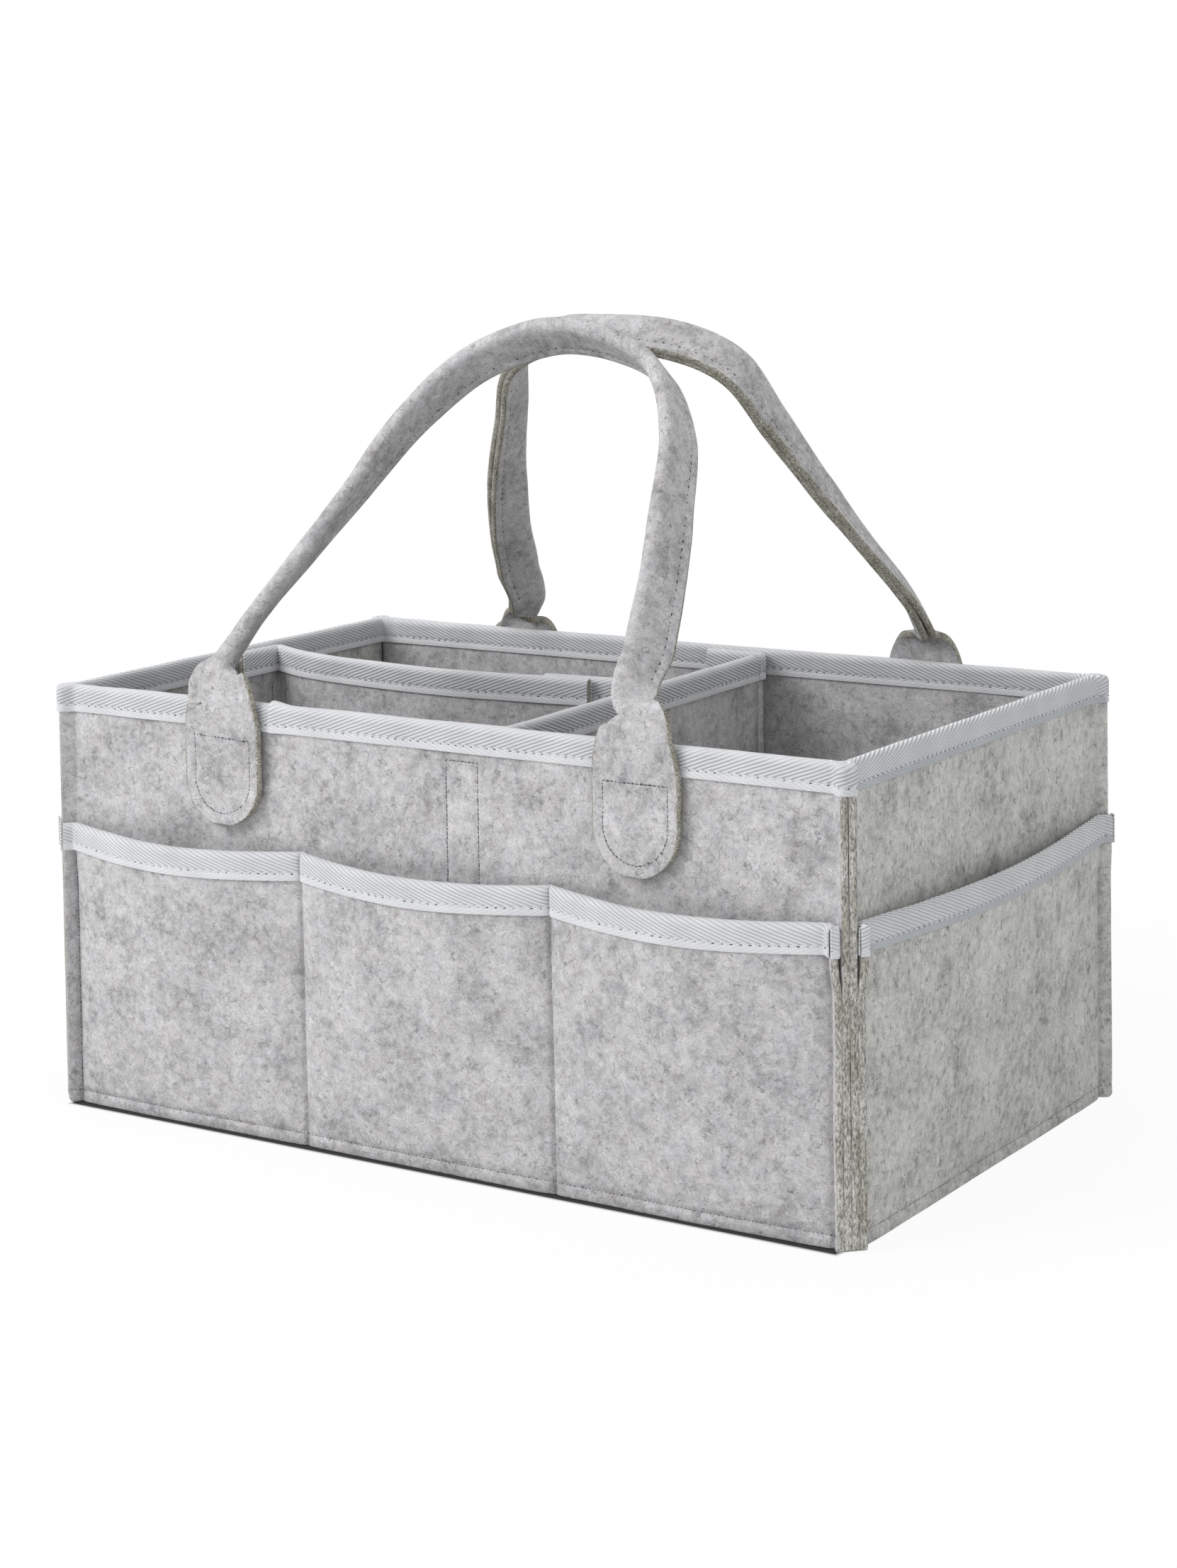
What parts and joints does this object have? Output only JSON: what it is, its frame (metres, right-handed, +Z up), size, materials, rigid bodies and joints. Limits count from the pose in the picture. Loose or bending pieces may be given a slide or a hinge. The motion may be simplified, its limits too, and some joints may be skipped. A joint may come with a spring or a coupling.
{
  "type": "felt caddy",
  "caption": "Open-top storage caddy in grey wool felt with outer pockets, two folded strap handles and removable cross and long dividers held by hook-and-loop flaps.",
  "frame": {"origin": "middle of the base on the ground", "axes": "+X along the length, -Y the front with the three pockets nearest the camera, +Z up"},
  "size_m": [0.3934, 0.2516, 0.3295],
  "materials": {
    "felt": "mottled grey wool felt",
    "tape": "herringbone twill tape",
    "hook_and_loop": "matte"
  },
  "bodies": {
    "caddy": {"back_wall": "felt", "back_pocket_panel": "felt", "back_pocket_binding": "tape", "left_wall": "felt", "left_pocket_panel": "felt", "left_pocket_binding": "tape", "front_wall": "felt", "front_pocket_panel": "felt", "front_pocket_binding": "tape", "right_wall": "felt", "right_pocket_panel": "felt", "right_pocket_binding": "tape", "base_panel": "felt", "rim_binding": "tape", "front_left_handle_tab": "felt", "front_right_handle_tab": "felt", "back_left_handle_tab": "felt", "back_right_handle_tab": "felt", "back_loop_strip": "hook_and_loop", "front_loop_strip": "hook_and_loop", "left_loop_strip": "hook_and_loop"},
    "front_handle": {"front_handle_strap": "felt"},
    "back_handle": {"back_handle_strap": "felt"},
    "cross_divider": {"cross_divider_panel": "felt", "cross_divider_binding": "tape", "centre_bracket": "felt", "centre_bracket_binding": "tape", "centre_loop_strip": "hook_and_loop"},
    "cross_back_flap": {"cross_back_flap": "felt", "cross_back_flap_binding": "tape", "cross_back_hook_strip": "hook_and_loop"},
    "cross_front_flap": {"cross_front_flap": "felt", "cross_front_flap_binding": "tape", "cross_front_hook_strip": "hook_and_loop"},
    "long_divider": {"long_divider_panel": "felt", "long_divider_binding": "tape", "long_end_hook_strip": "hook_and_loop"},
    "long_flap": {"long_divider_flap": "felt", "long_divider_flap_binding": "tape", "long_divider_hook_strip": "hook_and_loop"}
  },
  "joints": [
    {"name": "front_handle_swing", "type": "hinge", "parent": "caddy", "child": "front_handle", "pos_m": [0, -0.1139, 0.188], "axis": [1, 0, 0], "range_deg": [0, 170]},
    {"name": "back_handle_swing", "type": "hinge", "parent": "caddy", "child": "back_handle", "pos_m": [0, 0.1139, 0.188], "axis": [-1, 0, 0], "range_deg": [0, 170]},
    {"name": "cross_divider_lift", "type": "slide", "parent": "caddy", "child": "cross_divider", "axis": [0, 0, 1], "range_m": [0, 0.12]},
    {"name": "cross_back_flap_peel", "type": "hinge", "parent": "cross_divider", "child": "cross_back_flap", "pos_m": [0.02625, 0.10018, 0.1], "axis": [0, 0, 1], "range_deg": [0, 80]},
    {"name": "cross_front_flap_peel", "type": "hinge", "parent": "cross_divider", "child": "cross_front_flap", "pos_m": [0.03125, -0.10018, 0.1], "axis": [0, 0, -1], "range_deg": [0, 80]},
    {"name": "long_divider_lift", "type": "slide", "parent": "caddy", "child": "long_divider", "axis": [0, 0, 1], "range_m": [0, 0.12]},
    {"name": "long_flap_peel", "type": "hinge", "parent": "long_divider", "child": "long_flap", "pos_m": [-0.17398, 0.01903, 0.1], "axis": [0, 0, 1], "range_deg": [0, 50]}
  ]
}
